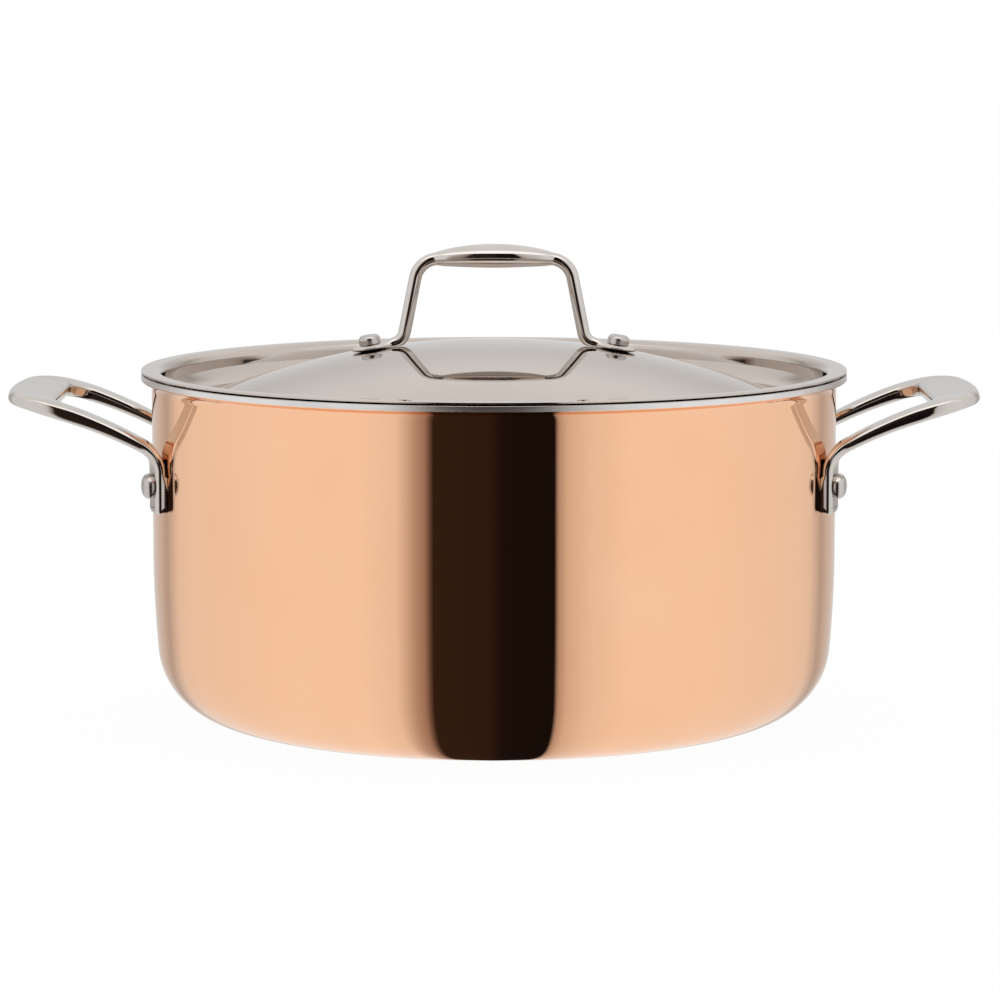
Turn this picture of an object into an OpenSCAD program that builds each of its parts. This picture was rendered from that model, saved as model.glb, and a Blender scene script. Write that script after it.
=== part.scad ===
// Covered three-ply copper casserole with two cast side handles and a domed steel lid.
// Millimetres, +Z up. The origin is the centre of the base, on the surface it stands on.
// +X runs through the right-hand side handle, and -Y is the front.

/* [Pot] */
// Inner diameter of the pot
pot_d = 240; // [190:1:300]
// Height from the base to the top of the lip
pot_h = 123.7; // [100:0.1:180]
// Outer radius of the corner between the wall and the base
corner_r = 27; // [15:0.5:35]
// Angle through which the wall leans in before the corner starts
lean_angle = 5; // [1:0.5:7]
// Radius of the long curve by which the wall leans in
lean_r = 400; // [250:10:480]
// Radius of the flared lip, on its copper side
lip_r = 3.7; // [2.5:0.1:5]

/* [Three-ply wall] */
// Thickness of the outer copper ply
copper_t = 0.3; // [0.2:0.05:1]
// Thickness of the aluminium ply in the middle
core_t = 1.6; // [0.8:0.1:3]
// Thickness of the inner steel ply
steel_t = 0.4; // [0.3:0.05:1]

/* [Side handles] */
// How far a handle reaches out from the wall
handle_reach = 50.7; // [42:0.1:70]
// Width of a handle over its two legs
handle_w = 87; // [76:0.5:110]
// Width of one leg
leg_w = 10; // [8:0.5:13]
// Thickness of the legs and of the grip plate
leg_t = 5.4; // [4:0.1:7]
// Depth of the grip plate, from the finger slot to the tip
plate_depth = 18; // [12:0.5:24]
// Radius of the grip plate's two outer corners
plate_corner_r = 20; // [8:1:26]
// Distance of the grip plate's top below the pot's lip
handle_drop = 5.3; // [3:0.1:12]
// Slope of the legs towards the wall
leg_slope = 27; // [15:1:35]
// Distance from the tip to the bend between plate and legs
bend_inset = 22; // [18:0.5:26]
// Radius of that bend, at the middle of the thickness
bend_r = 72; // [40:1:80]
// Angle between the handle's centre line and each foot
foot_angle = 19; // [17:0.5:21]
// Width of a foot
foot_w = 11; // [10:0.5:14]
// Thickness of a foot
foot_t = 4; // [3:0.1:6]
// Distance from the grip plate's top down to a foot's lower end
foot_drop = 41.4; // [36:0.1:50]
// Radius of a foot's two lower corners
foot_corner_r = 3; // [1:0.5:5]
// Height of the rivet above the foot's lower end
foot_rivet_h = 10; // [8:0.5:13]

/* [Side handle rivets] */
// Diameter of the shank, which fills its hole
side_shank_d = 4.8; // [3:0.1:6]
// Diameter of the domed outer head
side_head_d = 9; // [7:0.1:10]
// Height of the domed outer head
side_head_h = 3.4; // [2:0.1:4]
// Diameter of the flat head inside the pot
side_tail_d = 10; // [7:0.1:12]
// Height of the flat head inside the pot
side_tail_h = 1.2; // [0.6:0.1:2]

/* [Lid] */
// Thickness of the lid's sheet
lid_t = 0.8; // [0.5:0.1:1.2]
// Height of the rim's underside above the pot's lip
lid_gap = 0.5; // [0.3:0.1:1]
// Clearance between the lid's plug and the pot's wall
plug_clearance = 0.8; // [0.4:0.1:2]
// Depth of the groove below the rim
plug_depth = 12.6; // [11:0.1:16]
// Lean of the plug's wall
plug_lean = 4; // [1:0.5:8]
// Radius between the rim and the plug's wall
shoulder_r = 3; // [2:0.1:3.5]
// Radius of the groove around the dome
groove_r = 7.5; // [5:0.5:8]
// Height of the dome above the groove
dome_rise = 22; // [14:0.5:34]

/* [Lid handle] */
// Distance between the lid handle's two rivets
lid_rivet_span = 88; // [80:1:120]
// Height of the grip's top above the dome
grip_h = 35.1; // [30:0.1:46]
// Thickness of the grip at its middle
grip_t = 8.4; // [5:0.1:10]
// Width of the grip at its middle
grip_w = 13; // [8:0.5:18]
// Radius of the arch along the top of the grip
arch_r = 78; // [60:1:78]
// Slope of the grip's top where it runs into the shoulders
arch_slope = 17; // [10:0.5:18]
// Thickness of the rod
rod_t = 4.6; // [3.5:0.1:6]
// Outward lean of the handle's legs
rod_lean = 11.1; // [5:0.1:14]
// Distance from a rivet to the outside of its leg, at the dome
rod_inset = 8.4; // [7:0.1:12]
// Thickness of the flattened feet
lid_foot_t = 2.2; // [1.5:0.1:3]
// Width of the flattened feet
lid_foot_w = 11; // [9:0.5:14]
// Distance from a rivet to the end of its foot
lid_foot_end = 6.8; // [5.5:0.1:9]

/* [Lid handle rivets] */
// Diameter of the shank, which fills its hole
lid_shank_d = 4; // [3:0.1:5]
// Diameter of the domed outer head
lid_head_d = 7.8; // [6:0.1:9]
// Height of the domed outer head
lid_head_h = 4; // [2:0.1:4.5]
// Diameter of the flat head under the lid
lid_tail_d = 8; // [6:0.1:11]
// Height of the flat head under the lid
lid_tail_h = 1.2; // [0.6:0.1:2]

/* [Hidden] */
$fn = 96;

// Steps in each rounded stretch of an outline
corner_steps = 12;
lean_steps = 3;
lip_steps = 8;
dome_steps = 16;
bend_steps = 6;
// Half the steps along the swell of the lid handle's grip
swell_steps = 8;
// Length by which a cut runs past what it cuts
over = 5;
// Length by which a foot runs on into its leg
foot_in_leg = 1;
// Turn of the left side's pieces about the pot's axis
left_turn = 180;

// The wall's faces all bend about the same centres, so the plies lie on each other
wall_t = copper_t + core_t + steel_t;
inner_r = pot_d / 2;
outer_r = inner_r + wall_t;
rim_r = outer_r + lip_r;
lean_c = [outer_r - lean_r, corner_r + (lean_r - corner_r) * sin(lean_angle)];
corner_c = lean_c + (lean_r - corner_r) * [cos(lean_angle), -sin(lean_angle)];
lip_c = [rim_r, pot_h - wall_t - lip_r];

// Side handles, in the plane through their centre line
handle_top = pot_h - handle_drop;
tip_x = outer_r + handle_reach;
bend_x = tip_x - bend_inset;
slot_x = tip_x - plate_depth;
slot_w = handle_w - 2 * leg_w;
slot_corner_r = 8;
tip_bow = 1.6;
tip_bow_r = 420;
tip_edge_r = 1.6;
web_h = 9;
elbow_r = 6;
foot_face = outer_r + foot_t;
foot_low = handle_top - foot_drop;
side_rivet_z = foot_low + foot_rivet_h;
side_tail_seat = sqrt(pow(inner_r, 2) - pow(side_tail_d / 2, 2));

// Lid: centres of the shoulder, the groove and the dome
lid_top = pot_h + lid_gap + lid_t;
shoulder_c = [inner_r - plug_clearance + (shoulder_r - lid_t) * cos(plug_lean),
    lid_top - shoulder_r];
plug_start = shoulder_c + shoulder_r * [-cos(plug_lean), sin(plug_lean)];
groove_z = lid_top - plug_depth + groove_r;
plug_end_z = groove_z - groove_r * sin(plug_lean);
plug_end_x = plug_start[0] - (plug_start[1] - plug_end_z) * tan(plug_lean);
groove_c = [plug_end_x - groove_r * cos(plug_lean), groove_z];
dome_h = dome_rise - groove_r;
dome_r = (pow(groove_c[0], 2) + pow(dome_h, 2) - pow(groove_r, 2)) / (2 * (dome_h + groove_r));
peak_z = groove_z + dome_h;
dome_c = [0, peak_z - dome_r];
dome_angle = asin(groove_c[0] / (dome_r + groove_r));

// Lid handle: its feet lie on the dome's tangent plane at the rivets
foot_tilt = asin(lid_rivet_span / 2 / dome_r);
foot_along = [cos(foot_tilt), -sin(foot_tilt)];
foot_out = [sin(foot_tilt), cos(foot_tilt)];
lid_foot_c = dome_c + dome_r * foot_out;
lid_tail_seat = sqrt(pow(dome_r - lid_t, 2) - pow(lid_tail_d / 2, 2));
rod_along = [-sin(rod_lean), cos(rod_lean)];
rod_across = [cos(rod_lean), sin(rod_lean)];
rod_base = lid_foot_c - rod_inset * foot_along;
grip_top = peak_z + grip_h;
arch_top = grip_top + arch_r * (1 / cos(arch_slope) - 1);
arch_along = [cos(arch_slope), -sin(arch_slope)];
grip_low = grip_top - grip_t;
belly_slope = 2.6;
belly_r = 180;
belly_drop = belly_r * (1 / cos(belly_slope) - 1);
belly_along = [cos(belly_slope), sin(belly_slope)];
arch_shoulder_r = 9.6;
inner_shoulder_r = 4.6;
heel_r = 7.5;
instep_r = 3;
lid_foot_corner_r = 5;
grip_end_x = 30;
rod_end_x = 35;
foot_start_x = 38;
flare_r = 1;

// ---- Geometry shared by the pieces ----

// Points of an arc about c; skip drops its first points
function arc(c, r, from, to, n, skip = 0) =
    [for (i = [skip:n]) let (a = from + (to - from) * i / n) c + r * [cos(a), sin(a)]];

function reversed(points) = [for (i = [len(points) - 1:-1:0]) points[i]];

function unit(v) = v / norm(v);

// Where the line through a along u meets the line through b along v
function meet(a, u, b, v) = a + u * cross(b - a, v) / cross(u, v);

// Corner b between a and c, rounded to radius r
function rounded_corner(a, b, c, r) =
    let (u = unit(a - b), v = unit(c - b), half = acos(u * v) / 2)
    let (centre = b + unit(u + v) * r / sin(half), out = b - centre)
    let (mid = atan2(out[1], out[0]), turn = sign(cross(u, v)) * (90 - half))
    arc(centre, r, mid + turn, mid - turn, bend_steps);

// Closed outline of corners [x, y, radius]
function rounded(corners) =
    let (n = len(corners), p = [for (c = corners) [c[0], c[1]]])
    [for (i = [0:n - 1]) let (r = corners[i][2])
        each r > 0 ? rounded_corner(p[(i + n - 1) % n], p[i], p[(i + 1) % n], r) : [p[i]]];

function corner(p, r) = [p[0], p[1], r];

// Stands an outline drawn in x and z upright, w thick across y
module upright(w) {
    rotate([90, 0, 0])
        linear_extrude(height = w, center = true)
            children();
}

// Domed rivet along z, its outer head seated at z = 0 and its flat head below the grip length
module rivet(grip, shank_d, head_d, head_h, tail_d, tail_h) {
    cap_r = (pow(head_d / 2, 2) + pow(head_h, 2)) / (2 * head_h);
    cap_angle = asin((cap_r - head_h) / cap_r);
    rotate_extrude()
        polygon(concat(
            [[0, -grip - tail_h], [tail_d / 2, -grip - tail_h], [tail_d / 2, -grip],
                [shank_d / 2, -grip], [shank_d / 2, 0]],
            arc([0, head_h - cap_r], cap_r, cap_angle, 90, bend_steps)));
}

// Puts a piece on a foot's radial line at the height of its rivet, its z axis pointing out
module at_foot(turn, foot, x) {
    rotate([0, 0, turn + foot * foot_angle])
        translate([x, 0, side_rivet_z])
            rotate([0, 90, 0])
                children();
}

// Bores for all four side rivets, from inside the pot to outside the feet
module side_rivet_bores() {
    for (turn = [0, left_turn], foot = [-1, 1])
        at_foot(turn, foot, inner_r - over)
            cylinder(d = side_shank_d, h = wall_t + foot_t + 2 * over);
}

// Puts a piece on a lid rivet's line, measured out from the dome's centre
module at_lid_foot(side, r) {
    translate([0, 0, dome_c[1]])
        rotate([0, side * foot_tilt, 0])
            translate([0, 0, r])
                children();
}

module lid_rivet_bores() {
    for (side = [-1, 1])
        at_lid_foot(side, dome_r - over)
            cylinder(d = lid_shank_d, h = 2 * over);
}

// ---- Pot ----

// Face of the wall at depth t below the copper's outside, from the axis to the lip
function wall_face(t) = concat(
    [[0, t]],
    arc(corner_c, corner_r - t, -90, -lean_angle, corner_steps),
    arc(lean_c, lean_r - t, -lean_angle, 0, lean_steps, 1),
    arc(lip_c, lip_r + t, 180, 90, lip_steps));

// One ply between two depths, bored for the side rivets
module ply(outside, inside) {
    difference() {
        rotate_extrude()
            polygon(concat(wall_face(outside), reversed(wall_face(inside))));
        side_rivet_bores();
    }
}

module copper_shell() {
    color([0.93, 0.68, 0.52])
        ply(0, copper_t);
}

module aluminium_core() {
    color([0.8, 0.8, 0.81])
        ply(copper_t, copper_t + core_t);
}

module steel_liner() {
    color([0.72, 0.7, 0.68])
        ply(copper_t + core_t, wall_t);
}

// ---- Side handles ----

// Height on the leg's top line, which runs in through the bend's corner
function leg_top(x) = handle_top - (bend_x - x) * tan(leg_slope);

// Legs and grip plate from the side
module handle_profile() {
    low_bend_x = bend_x + leg_t * tan(leg_slope / 2);
    low = handle_top - leg_t;
    root_x = inner_r * cos(foot_angle) - over;
    leg_low = leg_top(root_x) - leg_t / cos(leg_slope);
    polygon(rounded([
        [root_x, leg_top(root_x), 0],
        [bend_x, handle_top, bend_r + leg_t / 2],
        [tip_x, handle_top, tip_edge_r],
        [tip_x, low, tip_edge_r],
        [low_bend_x, low, bend_r - leg_t / 2],
        [root_x, leg_low, 0]]));
}

// Legs and grip plate from above, with the finger slot between the legs
module handle_plan() {
    shoulder_x = tip_x - tip_bow;
    difference() {
        polygon(rounded([
            [0, -handle_w / 2, 0],
            [shoulder_x, -handle_w / 2, plate_corner_r],
            [tip_x, 0, tip_bow_r],
            [shoulder_x, handle_w / 2, plate_corner_r],
            [0, handle_w / 2, 0]]));
        polygon(rounded([
            [-over, -slot_w / 2, 0],
            [slot_x, -slot_w / 2, slot_corner_r],
            [slot_x, slot_w / 2, slot_corner_r],
            [-over, slot_w / 2, 0]]));
    }
}

// Foot on its radial line, with the elbow that runs up into the leg
module foot() {
    along = tan(leg_slope) / cos(foot_angle);
    elbow_z = leg_top(foot_face * cos(foot_angle)) - leg_t / cos(leg_slope);
    out = elbow_r + foot_in_leg;
    top = elbow_z + foot_in_leg;
    upright(foot_w)
        polygon(rounded([
            [inner_r, foot_low + web_h, 0],
            [foot_face, foot_low + web_h, 0],
            [foot_face, elbow_z, elbow_r],
            [foot_face + out, elbow_z + out * along, 0],
            [foot_face + out, top + out * along, 0],
            [inner_r, top, 0]]));
    translate([inner_r, 0, 0])
        rotate([0, 90, 0])
            linear_extrude(height = foot_face - inner_r)
                polygon(rounded([
                    [-foot_low, -foot_w / 2, foot_corner_r],
                    [-top, -foot_w / 2, 0],
                    [-top, foot_w / 2, 0],
                    [-foot_low, foot_w / 2, foot_corner_r]]));
}

// Right-hand handle: the cast fork, its feet fitted to the wall and bored for the rivets
module side_handle() {
    difference() {
        union() {
            intersection() {
                upright(handle_w)
                    handle_profile();
                linear_extrude(height = handle_top + over)
                    handle_plan();
            }
            for (foot = [-1, 1])
                rotate([0, 0, foot * foot_angle])
                    foot();
        }
        cylinder(r = outer_r, h = lip_c[1]);
        side_rivet_bores();
    }
}

module left_handle() {
    color([0.78, 0.76, 0.74])
        rotate([0, 0, left_turn])
            side_handle();
}

module right_handle() {
    color([0.78, 0.76, 0.74])
        side_handle();
}

// Rivet through the plies and one foot; foot is -1 or 1, turn picks the handle
module side_rivet(turn, foot) {
    color([0.7, 0.69, 0.68])
        at_foot(turn, foot, foot_face)
            rivet(foot_face - side_tail_seat, side_shank_d, side_head_d, side_head_h,
                side_tail_d, side_tail_h);
}

// ---- Lid ----

// Face of the lid's sheet at depth t below its upper side, from the rim to the dome's peak
function lid_face(t) = concat(
    [[rim_r, lid_top - t]],
    arc(shoulder_c, shoulder_r - t, 90, 180 - plug_lean, bend_steps),
    arc(groove_c, groove_r + t, -plug_lean, -90 - dome_angle, lip_steps),
    arc(dome_c, dome_r - t, 90 - dome_angle, 90, dome_steps, 1));

module lid() {
    color([0.77, 0.74, 0.71])
        difference() {
            rotate_extrude()
                polygon(concat(lid_face(0), reversed(lid_face(lid_t))));
            lid_rivet_bores();
        }
}

// Outline of one half of the lid handle from the front, from the belly of the grip
// out along its underside to the foot's end, and back over the top
function lid_handle_half() =
    let (foot_end = lid_foot_c + lid_foot_end * foot_along)
    let (foot_top = lid_foot_c + lid_foot_t * foot_out)
    let (rod_inside = rod_base - rod_t * rod_across)
    let (belly = [0, grip_low - belly_drop])
    let (arch = [0, arch_top])
    [
        corner(belly, belly_r),
        corner(meet(belly, belly_along, rod_inside, rod_along), inner_shoulder_r),
        corner(meet(lid_foot_c, foot_along, rod_inside, rod_along), heel_r),
        corner(foot_end, 0),
        corner(foot_end + lid_foot_t * foot_out, 0),
        corner(meet(foot_top, foot_along, rod_base, rod_along), instep_r),
        corner(meet(arch, arch_along, rod_base, rod_along), arch_shoulder_r),
        corner(arch, arch_r)
    ];

// Whole outline: the right half, then the left half walked the other way
module lid_handle_profile() {
    half = lid_handle_half();
    last = len(half) - 1;
    left = [for (i = [last - 1:-1:1]) [-half[i][0], half[i][1], half[i][2]]];
    polygon(rounded(concat(half, left)));
}

// Width of the rod, the grip and the feet from above
module lid_handle_plan() {
    end_x = lid_foot_c[0] + lid_foot_end;
    rod_half = rod_t / 2;
    foot_half = lid_foot_w / 2;
    swell = (grip_w - rod_t) / 4;
    side = [
        [end_x, foot_half, lid_foot_corner_r],
        [foot_start_x, foot_half, flare_r],
        [rod_end_x, rod_half, flare_r],
        for (i = [swell_steps:-1:-swell_steps]) let (t = i / swell_steps)
            [t * grip_end_x, rod_half + swell * (1 + cos(180 * t)), 0],
        [-rod_end_x, rod_half, flare_r],
        [-foot_start_x, foot_half, flare_r],
        [-end_x, foot_half, lid_foot_corner_r]
    ];
    other = [for (c = reversed(side)) [c[0], -c[1], c[2]]];
    polygon(rounded(concat(side, other)));
}

module lid_handle() {
    color([0.78, 0.76, 0.74])
        difference() {
            intersection() {
                upright(lid_foot_w + grip_w)
                    lid_handle_profile();
                translate([0, 0, lid_foot_c[1] - over])
                    linear_extrude(height = arch_top - lid_foot_c[1] + 2 * over)
                        lid_handle_plan();
            }
            lid_rivet_bores();
        }
}

// Rivet through the lid and one foot of its handle; side is -1 or 1
module lid_rivet(side) {
    head_seat = dome_r + lid_foot_t;
    color([0.7, 0.69, 0.68])
        at_lid_foot(side, head_seat)
            rivet(head_seat - lid_tail_seat, lid_shank_d, lid_head_d, lid_head_h,
                lid_tail_d, lid_tail_h);
}

copper_shell();
aluminium_core();
steel_liner();
left_handle();
right_handle();
side_rivet(left_turn, 1);  // left_front_rivet
side_rivet(left_turn, -1);  // left_rear_rivet
side_rivet(0, -1);  // right_front_rivet
side_rivet(0, 1);  // right_rear_rivet
lid();
lid_handle();
lid_rivet(-1);  // lid_left_rivet
lid_rivet(1);  // lid_right_rivet
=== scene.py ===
# Soup kettle: a three-ply copper pot with two cast handles, and a domed steel lid that lifts off.
# Metres, +Z up. The centre of the base is the origin, +X runs through a side handle, -Y is the front.
from math import asin, atan, atan2, cos, hypot, pi, radians, sin, sqrt, tan

import bmesh
import bpy
from mathutils import Matrix, Vector


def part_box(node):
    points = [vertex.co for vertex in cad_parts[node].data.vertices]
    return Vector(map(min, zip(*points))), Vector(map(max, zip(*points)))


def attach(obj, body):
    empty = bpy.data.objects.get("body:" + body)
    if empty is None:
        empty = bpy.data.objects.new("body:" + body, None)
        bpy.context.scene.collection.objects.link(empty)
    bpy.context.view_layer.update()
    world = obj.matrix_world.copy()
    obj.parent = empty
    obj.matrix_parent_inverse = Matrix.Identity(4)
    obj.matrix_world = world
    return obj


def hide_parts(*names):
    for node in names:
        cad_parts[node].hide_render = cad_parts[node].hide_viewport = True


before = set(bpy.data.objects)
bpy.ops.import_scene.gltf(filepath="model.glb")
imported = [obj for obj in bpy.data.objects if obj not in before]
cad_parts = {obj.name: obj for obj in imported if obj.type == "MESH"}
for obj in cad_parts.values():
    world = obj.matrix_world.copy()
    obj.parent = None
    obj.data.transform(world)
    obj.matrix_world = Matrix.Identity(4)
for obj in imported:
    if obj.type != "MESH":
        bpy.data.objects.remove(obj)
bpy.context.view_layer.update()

# ---- Studio ----
# A pale floor under a white sky. Polished metal sees a studio round it instead of plain white:
# soft white walls with dim corners behind, a dark gap in front where the camera stands, a white
# ceiling behind, and a softbox high up in front.

MM = 0.001
room_size = 16.0
floor_drop = 0.05 * MM
floor_white = (0.96, 0.96, 0.96, 1)
floor_glow = 0.965
# Radiance of the walls against azimuth, in degrees from the front, positive to the right
wall_tones = [
    (-180, (0.74, 0.74, 0.74)), (-150, (0.62, 0.60, 0.58)), (-141, (0.50, 0.48, 0.46)),
    (-130, (0.84, 0.84, 0.83)), (-118, (0.92, 0.92, 0.92)), (-75, (1.0, 1.0, 1.0)),
    (-45, (1.0, 1.0, 1.0)), (-32, (0.90, 0.89, 0.88)), (-26, (0.52, 0.45, 0.42)),
    (-21.3, (0.30, 0.22, 0.20)), (-20.9, (0.034, 0.022, 0.016)), (-2, (0.030, 0.018, 0.013)),
    (3, (0.012, 0.008, 0.008)), (19.8, (0.010, 0.007, 0.007)), (20.2, (0.44, 0.38, 0.35)),
    (24, (0.74, 0.70, 0.67)), (32, (0.90, 0.89, 0.88)), (45, (1.0, 1.0, 1.0)),
    (75, (1.0, 1.0, 1.0)), (118, (0.92, 0.92, 0.92)), (130, (0.84, 0.84, 0.83)),
    (141, (0.50, 0.48, 0.46)), (150, (0.62, 0.60, 0.58)), (180, (0.74, 0.74, 0.74)),
]
ceiling_tone = (1.0, 0.99, 0.98, 1)
ceiling_start = sin(radians(13))
ceiling_full = sin(radians(34))
front_start = sin(radians(41))
front_full = sin(radians(49))
softbox_tone = (1.7, 1.68, 1.66, 1)
front_depth = 0.4
# Below the horizon the walls close in on the front, so that the dark gap runs straight down the
# pot and over its corner. Right behind the pot they stand where they are.
behind_start = 0.9
behind_full = 0.96


def node(tree, kind, inputs=None, **settings):
    """Adds a shader node with settings, and with its inputs linked or given values."""
    made = tree.nodes.new(kind)
    for key, value in settings.items():
        setattr(made, key, value)
    for key, value in (inputs or {}).items():
        socket = made.inputs[key]
        if isinstance(value, bpy.types.NodeSocket):
            tree.links.new(value, socket)
        else:
            socket.default_value = value
    return made


def maths(tree, operation, *values):
    """One Math node's result."""
    return node(tree, "ShaderNodeMath", dict(enumerate(values)), operation=operation).outputs[0]


def mixed(tree, factor, a, b):
    """Value a mixed towards b by factor."""
    return node(tree, "ShaderNodeMix", {0: factor, 2: a, 3: b}).outputs[0]


def blended(tree, factor, a, b):
    """Colour a mixed towards b by factor."""
    return node(tree, "ShaderNodeMix", {0: factor, 6: a, 7: b}, data_type="RGBA").outputs[2]


def level_reach(tree, xyz):
    """How far a place is from the Z axis."""
    squares = [maths(tree, "MULTIPLY", side, side) for side in (xyz["X"], xyz["Y"])]
    return maths(tree, "SQRT", maths(tree, "ADD", *squares))


def ramp(tree, factor, stops):
    """Colour ramp with (place, colour) stops."""
    made = node(tree, "ShaderNodeValToRGB", {"Fac": factor})
    elements = made.color_ramp.elements
    while len(elements) < len(stops):
        elements.new(0.5)
    for element, (place, colour) in zip(elements, stops):
        element.position = place
        element.color = (*colour, 1)
    return made.outputs["Color"]


def graded(tree, value, low, high):
    """0 below low and 1 above high, with a smooth step between."""
    made = node(tree, "ShaderNodeMapRange",
                {"Value": value, "From Min": low, "From Max": high}, interpolation_type="SMOOTHSTEP")
    return made.outputs["Result"]


world = bpy.data.worlds.new("studio")
bpy.context.scene.world = world
world.use_nodes = True
sky = world.node_tree
sky.nodes.clear()
way = node(sky, "ShaderNodeTexCoord").outputs["Generated"]
looking = node(sky, "ShaderNodeSeparateXYZ", {"Vector": way}).outputs
above = maths(sky, "GREATER_THAN", looking["Z"], 0)
straight = maths(sky, "MAXIMUM", above, graded(sky, looking["Y"], behind_start, behind_full))
reach = mixed(sky, straight, 1.0, level_reach(sky, looking))
half_turn = maths(sky, "ARCTAN2", looking["X"], maths(sky, "SUBTRACT", reach, looking["Y"]))
round_room = maths(sky, "MULTIPLY_ADD", half_turn, 1 / pi, 0.5)
walls = ramp(sky, round_room, [(0.5 + turn / 360, tone) for turn, tone in wall_tones])
in_front = graded(sky, maths(sky, "MULTIPLY", looking["Y"], -1), 0.0, front_depth)
low_ceiling = graded(sky, looking["Z"], ceiling_start, ceiling_full)
high_ceiling = graded(sky, looking["Z"], front_start, front_full)
overhead = mixed(sky, in_front, low_ceiling, high_ceiling)
ceiling = blended(sky, in_front, ceiling_tone, softbox_tone)
studio = blended(sky, overhead, walls, ceiling)
glossy = node(sky, "ShaderNodeLightPath").outputs["Is Glossy Ray"]
light = node(sky, "ShaderNodeBackground", {"Color": blended(sky, glossy, (1, 1, 1, 1), studio)})
node(sky, "ShaderNodeOutputWorld", {"Surface": light.outputs[0]})

bpy.ops.object.select_all(action="DESELECT")
bpy.ops.mesh.primitive_plane_add(size=room_size, location=(0, 0, -floor_drop))
studio_floor = bpy.context.object
studio_floor.name = "studio_floor"
studio_floor.visible_glossy = False
paint = bpy.data.materials.new("floor_paint")
paint.use_nodes = True
tree = paint.node_tree
tree.nodes.clear()
matt = node(tree, "ShaderNodeBsdfDiffuse", {"Color": floor_white})
glow = node(tree, "ShaderNodeEmission", {"Color": (1, 1, 1, 1), "Strength": 1.0})
both = node(tree, "ShaderNodeMixShader", {0: floor_glow, 1: matt.outputs[0], 2: glow.outputs[0]})
node(tree, "ShaderNodeOutputMaterial", {"Surface": both.outputs[0]})
studio_floor.data.materials.append(paint)

bpy.context.scene.view_settings.view_transform = "Standard"

# ---- Camera ----
# A long lens a little above the rim, square on to the front.

camera_place = Vector((0, -1.4566, 0.2601))
camera_dip = radians(7.169)
camera_lens = 146.91
camera_shift = 0.006

camera_data = bpy.data.cameras.new("camera")
camera_data.lens = camera_lens
camera_data.shift_x = camera_shift
camera = bpy.data.objects.new("camera", camera_data)
bpy.context.collection.objects.link(camera)
camera.location = camera_place
camera.rotation_euler = (pi / 2 - camera_dip, 0, 0)
bpy.context.scene.camera = camera

# ---- Copper shell ----
# The pot's outside: a drawn copper cup, mirror polished on a lathe, its mouth flared out under
# the lid's rim. It is bonded to the aluminium over its whole inside.

pot_r = 120 * MM
copper_t = 0.3 * MM
core_t = 1.6 * MM
steel_t = 0.4 * MM
wall_t = copper_t + core_t + steel_t
outer_r = pot_r + wall_t
rim_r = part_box("copper_shell")[1].x
lip_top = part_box("steel_liner")[1].z
corner_r = 27 * MM
lean_r = 400 * MM
lean_angle = radians(5)
lip_r = rim_r - outer_r
lean_c = (outer_r - lean_r, corner_r + (lean_r - corner_r) * sin(lean_angle))
corner_c = (lean_c[0] + (lean_r - corner_r) * cos(lean_angle), corner_r)
lip_c = (rim_r, lip_top - wall_t - lip_r)
corner_steps = 32
lean_steps = 6
wall_steps = 5
lip_steps = 14
lathe_steps = 288
copper_edge_r = 0.12 * MM
copper_colour = (0.915, 0.540, 0.336, 1)
copper_deep = (0.900, 0.522, 0.318, 1)
hair = 0.01 * MM


def begin(name, x, z):
    """Starts an outline in the X-Z plane: a plane merged to one vertex."""
    bpy.ops.object.select_all(action="DESELECT")
    bpy.ops.mesh.primitive_plane_add(size=MM, location=(x, 0, z))
    piece = bpy.context.object
    piece.name = name
    piece.data.name = name
    bpy.ops.object.transform_apply(location=True, rotation=False, scale=False)
    bpy.ops.object.mode_set(mode="EDIT")
    bpy.ops.mesh.select_mode(type="VERT")
    bpy.ops.mesh.select_all(action="SELECT")
    bpy.ops.mesh.merge(type="CENTER")
    return piece


def line_to(x, z, steps=1):
    """Draws the outline on from its last vertex in a straight line."""
    outline = bmesh.from_edit_mesh(bpy.context.edit_object.data)
    last = next(v.co.copy() for v in outline.verts if v.select)
    step = (Vector((x, 0, z)) - last) / steps
    for _ in range(steps):
        bpy.ops.mesh.extrude_region_move(TRANSFORM_OT_translate={"value": step})


def arc_about(centre, turn, steps):
    """Draws the outline on round a centre (x, z); from the front a positive turn is anticlockwise."""
    bpy.ops.mesh.spin(steps=steps, angle=turn, center=(centre[0], 0, centre[1]), axis=(0, 1, 0))


def choose(passes, kind="VERT"):
    """Selects the vertices, edges or faces whose middle passes a test, and nothing else."""
    bpy.ops.mesh.select_mode(type=kind)
    bpy.ops.mesh.select_all(action="DESELECT")
    mesh = bmesh.from_edit_mesh(bpy.context.edit_object.data)
    if kind == "VERT":
        for vertex in mesh.verts:
            vertex.select_set(passes(vertex.co))
    elif kind == "EDGE":
        for edge in mesh.edges:
            edge.select_set(passes((edge.verts[0].co + edge.verts[1].co) / 2))
    else:
        for face in mesh.faces:
            face.select_set(passes(face.calc_center_median()))
    mesh.select_flush_mode()
    bmesh.update_edit_mesh(bpy.context.edit_object.data)


def ease_corner(x, z, radius, steps=4):
    """Rounds off one corner of the outline."""
    choose(lambda v: hypot(v.x - x, v.z - z) < hair)
    bpy.ops.mesh.bevel(offset=radius, segments=steps, affect="VERTICES")


def spin_round(steps=lathe_steps):
    """Turns the outline round the Z axis and closes it."""
    bpy.ops.mesh.select_all(action="SELECT")
    bpy.ops.mesh.spin(steps=steps, angle=2 * pi, center=(0, 0, 0), axis=(0, 0, 1))
    bpy.ops.mesh.select_all(action="SELECT")
    bpy.ops.mesh.remove_doubles(threshold=hair / 10)
    bpy.ops.mesh.normals_make_consistent(inside=False)
    bpy.ops.object.mode_set(mode="OBJECT")


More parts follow.
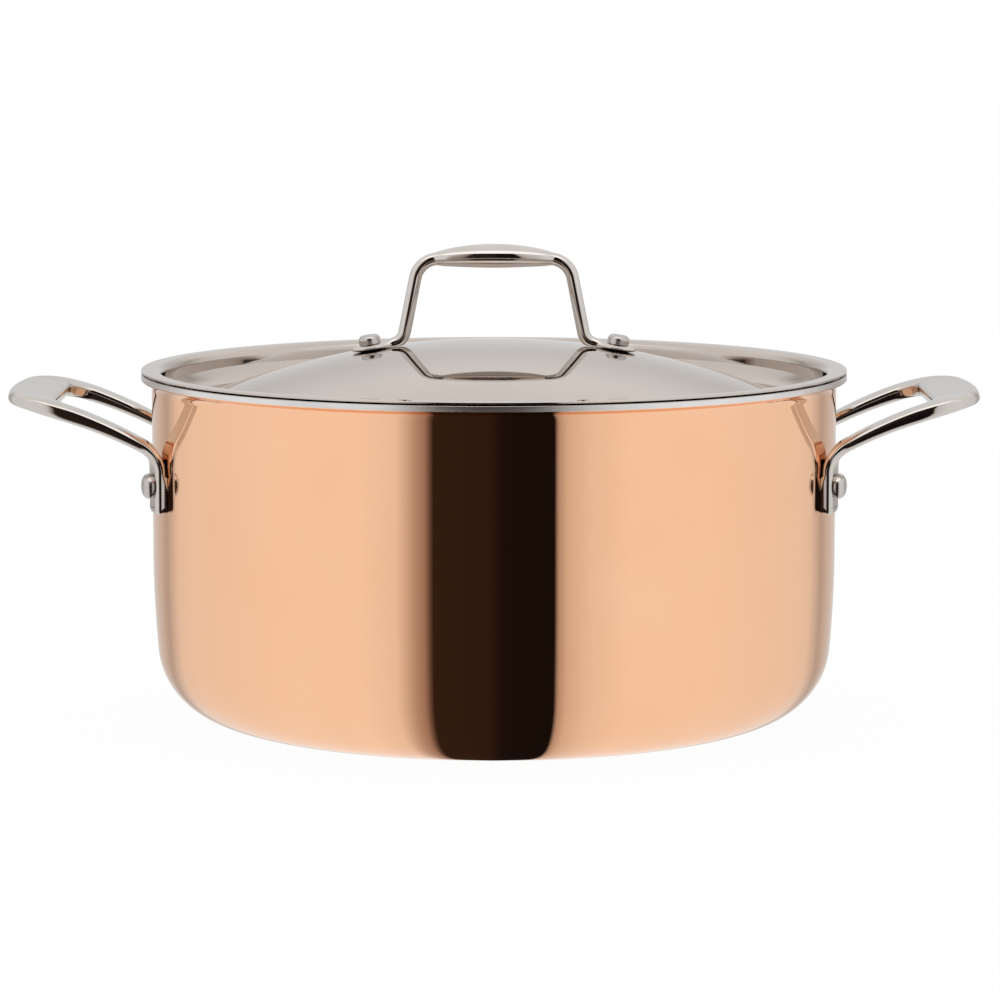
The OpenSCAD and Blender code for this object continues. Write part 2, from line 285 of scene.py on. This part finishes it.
def fair(piece, sharp=radians(40)):
    """Smooth shading whose normals follow the larger faces, so that reflections run true."""
    bpy.ops.object.select_all(action="DESELECT")
    piece.select_set(True)
    bpy.context.view_layer.objects.active = piece
    bpy.ops.object.shade_smooth_by_angle(angle=sharp)
    piece.modifiers.new("fair", "WEIGHTED_NORMAL").keep_sharp = True
    bpy.ops.object.modifier_apply(modifier="fair")


def draw_ply(name, outside, inside, low_edge_r, high_edge_r):
    """One ply of the wall between two depths below the copper's outside."""
    low = lip_c[1] + lip_r + outside
    high = lip_c[1] + lip_r + inside
    corner_turn = pi / 2 - lean_angle
    piece = begin(name, 0, outside)
    line_to(corner_c[0], outside)
    arc_about(corner_c, corner_turn, corner_steps)
    arc_about(lean_c, lean_angle, lean_steps)
    line_to(outer_r - outside, lip_c[1], wall_steps)
    arc_about(lip_c, -pi / 2, lip_steps)
    line_to(rim_r, high)
    arc_about(lip_c, pi / 2, lip_steps)
    line_to(outer_r - inside, lean_c[1], wall_steps)
    arc_about(lean_c, -lean_angle, lean_steps)
    arc_about(corner_c, -corner_turn, corner_steps)
    line_to(0, inside)
    if low_edge_r:
        ease_corner(rim_r, low, low_edge_r)
    if high_edge_r:
        ease_corner(rim_r, high, high_edge_r)
    spin_round()
    fair(piece)
    return piece


def effect_group(name, inputs, outputs):
    """A shader node group with (name, default) inputs; returns its tree and its input sockets."""
    tree = bpy.data.node_groups.new(name, "ShaderNodeTree")
    for label, value in inputs:
        socket = tree.interface.new_socket(label, in_out="INPUT", socket_type="NodeSocketFloat")
        socket.default_value = value
    for label in outputs:
        tree.interface.new_socket(label, in_out="OUTPUT", socket_type="NodeSocketFloat")
    return tree, node(tree, "NodeGroupInput").outputs


def use_effect(tree, group, **values):
    """Places an effect in a material; returns its output sockets."""
    placed = node(tree, "ShaderNodeGroup", node_tree=group)
    for label, value in values.items():
        placed.inputs[label.replace("_", " ")].default_value = value
    return placed.outputs


def noise(tree, vector, scale=1.0, detail=2.0, roughness=0.5):
    """A noise texture's value."""
    return node(tree, "ShaderNodeTexNoise",
                {"Vector": vector, "Scale": scale, "Detail": detail, "Roughness": roughness}).outputs[0]


# Marks of a polishing wheel on a turning piece: hair lines round the Z axis, broad bands, smudges
bands_per_line = 0.09
lathe_marks, given = effect_group(
    "lathe_marks", [("Lines per m", 3500.0), ("Run per m", 9.0), ("Smudge per m", 22.0)],
    ["Lines", "Bands", "Smudge"])
spot = node(lathe_marks, "ShaderNodeTexCoord").outputs["Object"]
xyz = node(lathe_marks, "ShaderNodeSeparateXYZ", {0: spot}).outputs
travel = maths(lathe_marks, "ADD", level_reach(lathe_marks, xyz), xyz["Z"])
run_x = maths(lathe_marks, "MULTIPLY", xyz["X"], given["Run per m"])
run_y = maths(lathe_marks, "MULTIPLY", xyz["Y"], given["Run per m"])
fine = maths(lathe_marks, "MULTIPLY", travel, given["Lines per m"])
broad = maths(lathe_marks, "MULTIPLY", fine, bands_per_line)
line_spot = node(lathe_marks, "ShaderNodeCombineXYZ", {0: run_x, 1: run_y, 2: fine}).outputs[0]
band_spot = node(lathe_marks, "ShaderNodeCombineXYZ", {0: run_x, 1: run_y, 2: broad}).outputs[0]
node(lathe_marks, "NodeGroupOutput", {
    "Lines": noise(lathe_marks, line_spot, detail=3.0),
    "Bands": noise(lathe_marks, band_spot, detail=2.0),
    "Smudge": noise(lathe_marks, spot, given["Smudge per m"], detail=4.0, roughness=0.6)})


def metal(name, colour, deep, make_marks, depth, gloss, spread):
    """A metal: colour mottled towards deep, roughness gloss to gloss + spread, marks depth high."""
    material = bpy.data.materials.new(name)
    material.use_nodes = True
    tree = material.node_tree
    tree.nodes.clear()
    marks = make_marks(tree)
    mottle = graded(tree, marks["Smudge"], 0.35, 0.75)
    wear = maths(tree, "MULTIPLY_ADD", marks["Bands"], 0.5, maths(tree, "MULTIPLY", marks["Smudge"], 0.5))
    bump = node(tree, "ShaderNodeBump", {"Height": marks["Lines"], "Distance": depth, "Strength": 1.0})
    skin = node(tree, "ShaderNodeBsdfPrincipled", {
        "Base Color": blended(tree, mottle, colour, deep), "Metallic": 1.0,
        "Roughness": maths(tree, "MULTIPLY_ADD", graded(tree, wear, 0.3, 0.7), spread, gloss),
        "Normal": bump.outputs[0]})
    node(tree, "ShaderNodeOutputMaterial", {"Surface": skin.outputs[0]})
    return material


copper_metal = metal("polished_copper", copper_colour, copper_deep,
                     lambda tree: use_effect(tree, lathe_marks), 0.0006 * MM, 0.012, 0.02)
copper_ply = draw_ply("copper_ply", 0, copper_t, copper_edge_r, 0)
copper_ply.data.materials.append(copper_metal)
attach(copper_ply, "pot")
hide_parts("copper_shell")

# ---- Aluminium core ----
# The thick ply in the middle, which spreads the heat. It is bonded between the other two and
# shows only as the dull turned edge of the lip.

aluminium_colour = (0.76, 0.75, 0.74, 1)
aluminium_dull = (0.62, 0.61, 0.60, 1)

aluminium_metal = metal("turned_aluminium", aluminium_colour, aluminium_dull,
                        lambda tree: use_effect(tree, lathe_marks, Lines_per_m=9000.0),
                        0.004 * MM, 0.26, 0.12)
aluminium_ply = draw_ply("aluminium_ply", copper_t, copper_t + core_t, 0, 0)
aluminium_ply.data.materials.append(aluminium_metal)
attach(aluminium_ply, "pot")
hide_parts("aluminium_core")

# ---- Steel liner ----
# The inside of the pot: stainless steel with a circular satin finish, its lip polished over the
# cut edge and eased so that it doesn't cut.

liner_edge_r = 0.3 * MM
liner_colour = (0.60, 0.575, 0.55, 1)
liner_deep = (0.53, 0.505, 0.48, 1)

liner_metal = metal("satin_steel", liner_colour, liner_deep,
                    lambda tree: use_effect(tree, lathe_marks, Lines_per_m=2600.0, Run_per_m=14.0),
                    0.006 * MM, 0.16, 0.12)
steel_ply = draw_ply("steel_ply", copper_t + core_t, wall_t, 0, liner_edge_r)
steel_ply.data.materials.append(liner_metal)
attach(steel_ply, "pot")
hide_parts("steel_liner")

# ---- Side handles ----
# Each handle is one stainless steel casting: a grip plate, two legs that slope down to the wall
# and turn into narrow feet. It is polished, its edges rounded, and riveted through both feet.

handle_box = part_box("right_handle")
plate_top = handle_box[1].z
plate_tip = handle_box[1].x
foot_low = handle_box[0].z
handle_half = 43.5 * MM
leg_w = 10 * MM
leg_t = 5.4 * MM
leg_y = handle_half - leg_w / 2
slot_end = 155 * MM
slot_r = 8 * MM
plate_r = 21 * MM
tip_bow = 1.3 * MM
tip_t = 4.1 * MM
leg_end_t = 4.1 * MM
leg_slope = radians(27.5)
crown_slope = radians(13.6)
tip_slope = radians(3)
bend_start = (126 * MM, plate_top - 15.9 * MM)
bend_r = 150 * MM
crown_r = 70 * MM
taper_x = 158 * MM
elbow_r = 10 * MM
foot_turn = radians(19)
foot_w = 11 * MM
foot_t = 4 * MM
foot_corner_r = 3 * MM
cast_edge_r = 2 * MM
stub = leg_w / 4
fan_steps = 14
tip_steps = 7
leg_steps = 12
elbow_steps = 10
cast_colour = (0.60, 0.565, 0.53, 1)
cast_deep = (0.55, 0.515, 0.48, 1)


class Bar:
    """A bar's end section, in edit mode, that is carried on from place to place."""

    def __init__(self, place, width, thick, pitch=0.0, yaw=0.0):
        self.place, self.width, self.thick = Vector(place), width, thick
        self.pitch, self.yaw = pitch, yaw

    def turn(self, angle, axis):
        bpy.ops.transform.rotate(value=-angle, orient_axis=axis, center_override=self.place)

    def shape(self, width, thick, pitch, yaw):
        """Turns and resizes the section where it is; pitch is from upright towards +X."""
        self.turn(-self.yaw, "Z")
        self.turn(-self.pitch, "Y")
        size = (thick / self.thick, width / self.width, 1)
        bpy.ops.transform.resize(value=size, center_override=self.place)
        self.turn(pitch, "Y")
        self.turn(yaw, "Z")
        self.width, self.thick, self.pitch, self.yaw = width, thick, pitch, yaw

    def carry_to(self, place, width=None, thick=None, pitch=None, yaw=None):
        """Draws the bar out to a place, with a new section there."""
        place = Vector(place)
        bpy.ops.mesh.extrude_region_move(TRANSFORM_OT_translate={"value": place - self.place})
        self.place = place
        self.shape(*(new if new is not None else old for new, old in (
            (width, self.width), (thick, self.thick), (pitch, self.pitch), (yaw, self.yaw))))


def apply_modifier(piece, kind, **settings):
    """Adds a modifier to the active piece and applies it."""
    modifier = piece.modifiers.new(kind.lower(), kind)
    for key, value in settings.items():
        setattr(modifier, key, value)
    bpy.ops.object.modifier_apply(modifier=modifier.name)


# The slope of the legs and the curve up into the plate, as a form that the flat blank is pressed on
root_x = outer_r * cos(foot_turn)
root_z = bend_start[1] - (bend_start[0] - root_x) * tan(leg_slope)
bend_c = Vector(bend_start) + bend_r * Vector((sin(leg_slope), -cos(leg_slope)))
crown_start = bend_c + bend_r * Vector((-sin(crown_slope), cos(crown_slope)))
crown_c = crown_start + crown_r * Vector((sin(crown_slope), -cos(crown_slope)))
bend_form = begin("bend_form", root_x, root_z)
line_to(*bend_start, 4)
arc_about(bend_c, crown_slope - leg_slope, 24)
arc_about(crown_c, tip_slope - crown_slope, 12)
line_to(plate_tip + leg_t, crown_c.y + crown_r * cos(tip_slope) + leg_t * tan(tip_slope))
bpy.ops.mesh.select_all(action="SELECT")
bpy.ops.mesh.extrude_region_move(TRANSFORM_OT_translate={"value": (0, handle_half + leg_t, 0)})
bpy.ops.mesh.select_all(action="SELECT")
bpy.ops.transform.translate(value=(0, -leg_t / 2, 0))
bpy.ops.object.mode_set(mode="OBJECT")

# Half the blank, flat: a leg, then a fan of sections round the slot's corner, then the plate
fan_x = slot_end - slot_r
fan_y = leg_y - leg_w / 2 - slot_r
round_c = Vector((plate_tip - tip_bow - plate_r - fan_x, handle_half - plate_r - fan_y))
foot_c = Vector((cos(foot_turn), sin(foot_turn))) * (outer_r + foot_t / 2)
elbow_end_x = foot_c.x + elbow_r * (1 - sin(leg_slope))
bpy.ops.object.select_all(action="DESELECT")
bpy.ops.mesh.primitive_plane_add(size=leg_w, location=(elbow_end_x - leg_w / 2, leg_y, 0))
right_fork = bpy.context.object
right_fork.name = "right_fork"
right_fork.data.name = "right_fork"
bpy.ops.object.transform_apply(location=True, rotation=False, scale=False)
bpy.ops.object.mode_set(mode="EDIT")
choose(lambda v: v.x < elbow_end_x - leg_w / 2)
bpy.ops.transform.translate(value=(leg_w - stub, 0, 0))
choose(lambda v: v.x > elbow_end_x - stub / 2)
blank = Bar((elbow_end_x, leg_y, 0), leg_w, leg_t, pitch=pi / 2)
for step in range(1, leg_steps + 1):
    blank.carry_to((elbow_end_x + (fan_x - elbow_end_x) * step / leg_steps, leg_y, 0))
for step in range(1, fan_steps + 1):
    angle = pi / 2 * step / fan_steps
    ray = Vector((sin(angle), cos(angle)))
    to_side = (handle_half - fan_y) / max(ray.y, 0.01)
    along = ray.dot(round_c)
    to_round = along + sqrt(plate_r ** 2 - round_c.length_squared + along ** 2)
    reach = to_side if to_side * ray.x < round_c.x else to_round
    middle = (reach + slot_r) / 2
    blank.carry_to((fan_x + ray.x * middle, fan_y + ray.y * middle, 0),
                   width=reach - slot_r, yaw=-angle)
for step in range(1, tip_steps + 1):
    y = fan_y * (1 - step / tip_steps)
    reach = plate_tip - tip_bow * (y / (handle_half - plate_r)) ** 2
    blank.carry_to(((reach + slot_end) / 2, y, 0), width=reach - slot_end)
choose(lambda v: v.x < elbow_end_x - MM)
bpy.ops.mesh.delete(type="VERT")
bpy.ops.mesh.select_all(action="SELECT")
bpy.ops.mesh.normals_make_consistent(inside=False)
bpy.ops.object.mode_set(mode="OBJECT")

# The blank is pressed on the form and given its thickness, thinner at the tip and the elbow
apply_modifier(right_fork, "SHRINKWRAP", target=bend_form, wrap_method="PROJECT",
               use_project_z=True, use_negative_direction=True, use_positive_direction=True)
bpy.data.objects.remove(bend_form)
gauge = right_fork.vertex_groups.new(name="gauge")
for vertex in right_fork.data.vertices:
    x = vertex.co.x
    outer_share = min(max((x - taper_x) / (plate_tip - taper_x), 0), 1)
    leg_share = min(max((fan_x - x) / (fan_x - elbow_end_x), 0), 1)
    thick = leg_t + (tip_t - leg_t) * outer_share ** 1.5 + (leg_end_t - leg_t) * leg_share
    gauge.add([vertex.index], thick / leg_t, "REPLACE")
apply_modifier(right_fork, "SOLIDIFY", thickness=leg_t, offset=0.0, use_even_offset=True,
               vertex_group="gauge")

# Each foot is drawn out of its leg
bpy.ops.object.mode_set(mode="EDIT")
choose(lambda f: abs(f.y) < hair, "FACE")
bpy.ops.mesh.delete(type="ONLY_FACE")
elbow_z = bend_start[1] - (bend_start[0] - elbow_end_x) * tan(leg_slope)
choose(lambda f: (f - Vector((elbow_end_x, leg_y, elbow_z))).length < MM, "FACE")
leg = Bar((elbow_end_x, leg_y, elbow_z), leg_w, leg_end_t, pitch=pi / 2 - leg_slope)
leg.shape(leg_w, leg_end_t, pi / 2 - leg_slope, 0.0)
elbow_low = elbow_z - elbow_r * cos(leg_slope)
for step in range(1, elbow_steps + 1):
    share = step / elbow_steps
    pitch = (pi / 2 - leg_slope) * (1 - share)
    eased = share * share * (3 - 2 * share)
    place = (foot_c.x + elbow_r * (1 - cos(pitch)), leg_y + (foot_c.y - leg_y) * eased,
             elbow_low + elbow_r * sin(pitch))
    leg.carry_to(place, leg_w + (foot_w - leg_w) * eased,
                 leg_end_t + (foot_t - leg_end_t) * eased, pitch, foot_turn * eased)
leg.carry_to((*foot_c, (elbow_low + foot_low) / 2))
leg.carry_to((*foot_c, foot_low))
across_foot = Vector((-sin(foot_turn), cos(foot_turn)))
choose(lambda e: e.z < foot_low + hair and abs(abs(e.xy.dot(across_foot)) - foot_w / 2) < MM, "EDGE")
bpy.ops.mesh.bevel(offset=foot_corner_r, segments=6, affect="EDGES")
bpy.ops.mesh.select_all(action="SELECT")
bpy.ops.mesh.normals_make_consistent(inside=False)
bpy.ops.object.mode_set(mode="OBJECT")
apply_modifier(right_fork, "MIRROR", use_axis=(False, True, False), merge_threshold=hair)

# Its edges are rounded over, all but those that lie against the wall
bpy.ops.object.mode_set(mode="EDIT")
bpy.ops.mesh.select_mode(type="EDGE")
bpy.ops.mesh.select_all(action="DESELECT")
bpy.ops.mesh.edges_select_sharp(sharpness=radians(50))
bpy.ops.transform.edge_bevelweight(value=1.0)
choose(lambda e: e.z < elbow_low
       and abs(e.x) * cos(foot_turn) + abs(e.y) * sin(foot_turn) < outer_r + 0.5 * MM, "EDGE")
bpy.ops.transform.edge_bevelweight(value=-1.0)
bpy.ops.object.mode_set(mode="OBJECT")
apply_modifier(right_fork, "BEVEL", width=cast_edge_r, segments=5, limit_method="WEIGHT",
               use_clamp_overlap=False)
fair(right_fork)


# Skin of a polished casting: a faint ripple, fine scratches every way, and smudges
cast_marks, given = effect_group(
    "cast_marks", [("Ripple per m", 450.0), ("Lines per m", 2500.0), ("Smudge per m", 60.0)],
    ["Lines", "Bands", "Smudge"])
spot = node(cast_marks, "ShaderNodeTexCoord").outputs["Object"]
node(cast_marks, "NodeGroupOutput", {
    "Lines": maths(cast_marks, "ADD", noise(cast_marks, spot, given["Ripple per m"]),
                   maths(cast_marks, "MULTIPLY", noise(cast_marks, spot, given["Lines per m"]), 0.12)),
    "Bands": noise(cast_marks, spot, given["Ripple per m"], detail=3.0),
    "Smudge": noise(cast_marks, spot, given["Smudge per m"], detail=4.0, roughness=0.6)})

cast_metal = metal("polished_casting", cast_colour, cast_deep,
                   lambda tree: use_effect(tree, cast_marks), 0.0015 * MM, 0.05, 0.05)
right_fork.data.materials.append(cast_metal)


def turned_copy(piece, name, matrix):
    """A copy with a mesh of its own, turned or moved, and its place kept in the mesh."""
    bpy.ops.object.select_all(action="DESELECT")
    piece.select_set(True)
    bpy.context.view_layer.objects.active = piece
    bpy.ops.object.duplicate(linked=False)
    made = bpy.context.object
    made.name = name
    made.data.name = name
    made.matrix_world = matrix
    bpy.ops.object.transform_apply(location=True, rotation=True, scale=True)
    return made


left_fork = turned_copy(right_fork, "left_fork", Matrix.Rotation(pi, 4, "Z"))
for fork, cad_node in ((right_fork, "right_handle"), (left_fork, "left_handle")):
    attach(fork, "pot")
    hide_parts(cad_node)

# ---- Side handle rivets ----
# Stainless steel rivets through the three plies and a foot: a domed button outside, and a broad
# flat head set down against the liner inside.

side_rivet_z = foot_low + 10 * MM
side_head_r = 4.5 * MM
side_head_h = 3.4 * MM
side_skirt_h = 0.9 * MM
side_crown_r = 1.6 * MM
side_shank_r = 2.4 * MM
side_tail_r = 5 * MM
side_tail_h = 1.2 * MM
side_tail_seat = sqrt(pot_r ** 2 - side_tail_r ** 2)
rivet_edge_r = 0.45 * MM
rivet_steps = 64
rivet_colour = (0.57, 0.54, 0.515, 1)
rivet_deep = (0.47, 0.44, 0.42, 1)


def draw_rivet(name, grip, shank_r, head_r, head_h, skirt_h, crown_r, tail_r, tail_h):
    """A rivet along Z, its outer head seated at 0 and its flat head the grip length below."""
    dome_h = head_h - skirt_h
    flank_r = (head_r - crown_r + dome_h ** 2 / (head_r - crown_r)) / 2
    piece = begin(name, 0, -grip - tail_h)
    line_to(tail_r, -grip - tail_h)
    line_to(tail_r, -grip)
    line_to(shank_r, -grip)
    line_to(shank_r, 0)
    line_to(head_r, 0)
    line_to(head_r, skirt_h)
    flank = atan2(dome_h, head_r - crown_r)
    arc_about((head_r - flank_r, skirt_h), 2 * flank, 10)
    line_to(0, head_h)
    ease_corner(tail_r, -grip - tail_h, rivet_edge_r)
    ease_corner(head_r, 0, rivet_edge_r / 2)
    spin_round(rivet_steps)
    fair(piece)
    return piece


rivet_metal = metal("tumbled_steel", rivet_colour, rivet_deep,
                    lambda tree: use_effect(tree, cast_marks, Ripple_per_m=900.0), 0.006 * MM, 0.16, 0.1)
foot_face = outer_r + foot_t
side_pattern = draw_rivet("side_pattern", foot_face - side_tail_seat, side_shank_r, side_head_r,
                          side_head_h, side_skirt_h, side_crown_r, side_tail_r, side_tail_h)
side_pattern.data.materials.append(rivet_metal)
for side, turn, end in (("right", 0.0, 1), ("left", pi, -1)):
    for place, foot in (("front", -1), ("rear", 1)):
        stand = (Matrix.Rotation(turn + end * foot * foot_turn, 4, "Z")
                 @ Matrix.Translation((foot_face, 0, side_rivet_z)) @ Matrix.Rotation(pi / 2, 4, "Y"))
        button = turned_copy(side_pattern, side + "_" + place + "_button", stand)
        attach(button, "pot")
        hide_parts(side + "_" + place + "_rivet")
bpy.data.objects.remove(side_pattern)

# ---- Lid ----
# One sheet of stainless steel, pressed: a flat rim that overhangs the lip, a plug that drops
# into the pot, a groove and a low dome. It is polished like a mirror on a lathe.

lid_t = 0.8 * MM
lid_top = lip_top + 1.3 * MM
plug_lean = radians(4)
plug_gap = 0.8 * MM
plug_depth = 12.6 * MM
shoulder_r = 3 * MM
groove_r = 7.5 * MM
dome_rise = 22 * MM
rim_edge_r = 0.36 * MM
lid_colour = (0.565, 0.505, 0.462, 1)
lid_deep = (0.535, 0.475, 0.432, 1)

shoulder_c = (pot_r - plug_gap + (shoulder_r - lid_t) * cos(plug_lean), lid_top - shoulder_r)
plug_high = (shoulder_c[0] - shoulder_r * cos(plug_lean), shoulder_c[1] + shoulder_r * sin(plug_lean))
groove_z = lid_top - plug_depth + groove_r
plug_low_z = groove_z - groove_r * sin(plug_lean)
plug_low_x = plug_high[0] - (plug_high[1] - plug_low_z) * tan(plug_lean)
groove_c = (plug_low_x - groove_r * cos(plug_lean), groove_z)
dome_h = dome_rise - groove_r
dome_r = (groove_c[0] ** 2 + dome_h ** 2 - groove_r ** 2) / (2 * (dome_h + groove_r))
dome_c = (0, groove_z + dome_h - dome_r)
dome_angle = asin(groove_c[0] / (dome_r + groove_r))
groove_angle = pi / 2 + dome_angle - plug_lean
shoulder_angle = pi / 2 - plug_lean

lid_sheet = begin("lid_sheet", 0, dome_c[1] + dome_r - lid_t)
arc_about(dome_c, -dome_angle, 24)
arc_about(groove_c, groove_angle, 30)
line_to(shoulder_c[0] - (shoulder_r - lid_t) * cos(plug_lean),
        shoulder_c[1] + (shoulder_r - lid_t) * sin(plug_lean))
arc_about(shoulder_c, -shoulder_angle, 12)
line_to(rim_r, lid_top - lid_t)
line_to(rim_r, lid_top)
line_to(shoulder_c[0], lid_top)
arc_about(shoulder_c, shoulder_angle, 12)
line_to(plug_low_x, plug_low_z)
arc_about(groove_c, -groove_angle, 30)
arc_about(dome_c, dome_angle, 24)
ease_corner(rim_r, lid_top - lid_t, rim_edge_r)
ease_corner(rim_r, lid_top, rim_edge_r)
spin_round()
fair(lid_sheet)
lid_metal = metal("mirror_steel", lid_colour, lid_deep,
                  lambda tree: use_effect(tree, lathe_marks, Lines_per_m=3000.0, Smudge_per_m=14.0),
                  0.0009 * MM, 0.03, 0.03)
lid_sheet.data.materials.append(lid_metal)
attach(lid_sheet, "lid")
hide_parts("lid")

# ---- Lid handle ----
# A forged stainless steel rod, bent to an arch that swells to a broad oval grip at its middle.
# Its ends are pressed flat for the rivets and lie on the dome.

lid_rivet_x = 44 * MM
rod_t = 4.6 * MM
rod_lean = radians(11.1)
rod_inset = 8.8 * MM
lid_foot_t = 2.2 * MM
lid_foot_w = 11 * MM
lid_foot_end = 6.8 * MM
lid_foot_blank = 2.7 * MM
lid_foot_turns = (12, 26, 42, 60, 76, 90)
blunt_turns = 3
flare_x = 1.5 * MM
flare_steps = 5
heel_r = 5.2 * MM
heel_steps = 8
arch_shoulder_r = 8.5 * MM
arch_steps = 10
grip_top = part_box("lid_handle")[1].z - 0.4 * MM
grip_t = 8.7 * MM
grip_w = 13 * MM
grip_half = 30 * MM
arch_r = 78 * MM
belly_rise = tan(radians(2.6))
belly_ease = 8 * MM
grip_end_x = 22.3 * MM
grip_places = (18 * MM, 14.5 * MM, 11 * MM, 7.5 * MM, 4 * MM, 0.0)
rod_colour = (0.62, 0.585, 0.555, 1)
rod_deep = (0.57, 0.535, 0.505, 1)

foot_tilt = asin(lid_rivet_x / dome_r)
foot_along = Vector((cos(foot_tilt), -sin(foot_tilt)))
foot_up = Vector((sin(foot_tilt), cos(foot_tilt)))
lid_foot_c = Vector(dome_c) + foot_up * dome_r
rod_up = Vector((-sin(rod_lean), cos(rod_lean)))
rod_in = Vector((-cos(rod_lean), -sin(rod_lean)))


def crossing(a, along_a, b, along_b):
    """Where the line through a meets the line through b, in the X-Z plane."""
    return a + along_a * (b - a).cross(along_b) / along_a.cross(along_b)


def grip_section(x):
    """Middle height, thickness and slope of the grip, x out from its middle."""
    top = grip_top - arch_r + sqrt(arch_r ** 2 - x ** 2)
    low = grip_top - grip_t + belly_rise * x * x / (x + belly_ease)
    belly_slope = belly_rise * x * (x + 2 * belly_ease) / (x + belly_ease) ** 2
    slope = (x / sqrt(arch_r ** 2 - x ** 2) - belly_slope) / 2
    return (top + low) / 2, (top - low) * cos(atan(slope)), atan(slope)


def bend_stations(corner, radius, before, after, steps):
    """Places and pitches round a bend at a corner of the rod's middle line."""
    turn = after - before
    run = radius * tan(abs(turn) / 2)
    start = corner - run * Vector((sin(before), cos(before)))
    side = Vector((cos(before), -sin(before))) * (1 if turn > 0 else -1) * radius
    for step in range(steps + 1):
        pitch = before + turn * step / steps
        out = Vector((cos(pitch), -sin(pitch))) * (1 if turn > 0 else -1) * radius
        yield start + side - out, pitch


foot_mid = lid_foot_c + foot_up * lid_foot_t / 2
rod_mid = lid_foot_c - rod_inset * foot_along + rod_in * rod_t / 2
heel = crossing(foot_mid, foot_along, rod_mid, rod_up)
foot_pitch = foot_tilt - pi / 2
end_z, _, end_slope = grip_section(grip_end_x)
grip_out = Vector((cos(end_slope), -sin(end_slope)))
shoulder = crossing(Vector((grip_end_x, end_z)), grip_out, rod_mid, rod_up)
foot_end = foot_mid + foot_along * lid_foot_end
bpy.ops.object.select_all(action="DESELECT")
bpy.ops.mesh.primitive_circle_add(vertices=20, radius=0.5, fill_type="NGON")
lid_grip = bpy.context.object
lid_grip.name = "lid_grip"
lid_grip.data.name = "lid_grip"
bpy.ops.object.mode_set(mode="EDIT")
bpy.ops.mesh.select_all(action="SELECT")
rod = Bar((0, 0, 0), 1.0, 1.0)
half_foot = lid_foot_w / 2
for step, angle in enumerate(lid_foot_turns):
    angle = radians(angle)
    place = foot_end - foot_along * half_foot * (1 - cos(angle))
    width = lid_foot_w * sin(angle)
    thick = lid_foot_t * (0.55 + 0.45 * sin(angle)) if step < blunt_turns else lid_foot_blank
    if step:
        rod.carry_to((place.x, 0, place.y), width, thick)
    else:
        bpy.ops.transform.translate(value=(place.x, 0, place.y))
        rod.place = Vector((place.x, 0, place.y))
        rod.shape(width, thick, foot_pitch, 0.0)
flare_start = foot_mid - foot_along * flare_x
bends = list(bend_stations(heel, heel_r, foot_pitch, -rod_lean, heel_steps))
for step in range(flare_steps):
    share = step / flare_steps
    place = flare_start.lerp(bends[0][0], share)
    eased = share * share * (3 - 2 * share)
    rod.carry_to((place.x, 0, place.y), lid_foot_w + (rod_t - lid_foot_w) * eased,
                 lid_foot_blank + (rod_t - lid_foot_blank) * share ** 3)
bends += bend_stations(shoulder, arch_shoulder_r, -rod_lean, end_slope - pi / 2, arch_steps)
for place, pitch in bends:
    rod.carry_to((place.x, 0, place.y), rod_t, rod_t, pitch)
for x in grip_places:
    height, thick, slope = grip_section(x)
    width = rod_t + (grip_w - rod_t) / 2 * (1 + cos(pi * x / grip_half))
    rod.carry_to((x, 0, height), width, thick, slope - pi / 2)


def press_flat(place, up, start):
    """Flattens what stands above a plane through place, from x = start outwards."""
    normal = Vector((up.x, 0, up.y))
    point = Vector((place.x, 0, place.y))
    choose(lambda v: v.x > start and (v - point).dot(normal) > 0)
    tilt = Matrix.Rotation(foot_tilt, 3, "Y")
    bpy.ops.transform.resize(value=(1, 1, 0), orient_type="GLOBAL", orient_matrix=tilt,
                             orient_matrix_type="GLOBAL", center_override=point)


press_flat(lid_foot_c + foot_up * lid_foot_t, foot_up, heel.x + heel_r)
press_flat(lid_foot_c, -foot_up, heel.x - heel_r)
choose(lambda f: abs(f.x) < hair, "FACE")
bpy.ops.mesh.delete(type="ONLY_FACE")
bpy.ops.mesh.select_all(action="SELECT")
bpy.ops.mesh.normals_make_consistent(inside=False)
bpy.ops.object.mode_set(mode="OBJECT")
apply_modifier(lid_grip, "MIRROR", use_axis=(True, False, False), merge_threshold=hair)
apply_modifier(lid_grip, "SUBSURF", levels=2, render_levels=2)
fair(lid_grip)
rod_metal = metal("polished_rod", rod_colour, rod_deep,
                  lambda tree: use_effect(tree, cast_marks, Ripple_per_m=200.0),
                  0.0015 * MM, 0.035, 0.03)
lid_grip.data.materials.append(rod_metal)
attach(lid_grip, "lid")
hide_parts("lid_handle")

# ---- Lid handle rivets ----
# Two stainless steel rivets through the flattened feet and the lid: rounded buttons on top, flat
# heads underneath.

lid_shank_r = 2 * MM
lid_head_r = 3.9 * MM
lid_head_h = 3.4 * MM
lid_skirt_h = 1.5 * MM
lid_crown_r = 1.4 * MM
lid_tail_r = 4 * MM
lid_tail_h = 1.2 * MM

head_seat = dome_r + lid_foot_t
tail_seat = sqrt((dome_r - lid_t) ** 2 - lid_tail_r ** 2)
lid_pattern = draw_rivet("lid_pattern", head_seat - tail_seat, lid_shank_r, lid_head_r,
                         lid_head_h, lid_skirt_h, lid_crown_r, lid_tail_r, lid_tail_h)
lid_pattern.data.materials.append(rivet_metal)
for side, end in (("left", -1), ("right", 1)):
    stand = (Matrix.Translation((0, 0, dome_c[1])) @ Matrix.Rotation(end * foot_tilt, 4, "Y")
             @ Matrix.Translation((0, 0, head_seat)))
    button = turned_copy(lid_pattern, "lid_" + side + "_button", stand)
    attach(button, "lid")
    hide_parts("lid_" + side + "_rivet")
bpy.data.objects.remove(lid_pattern)
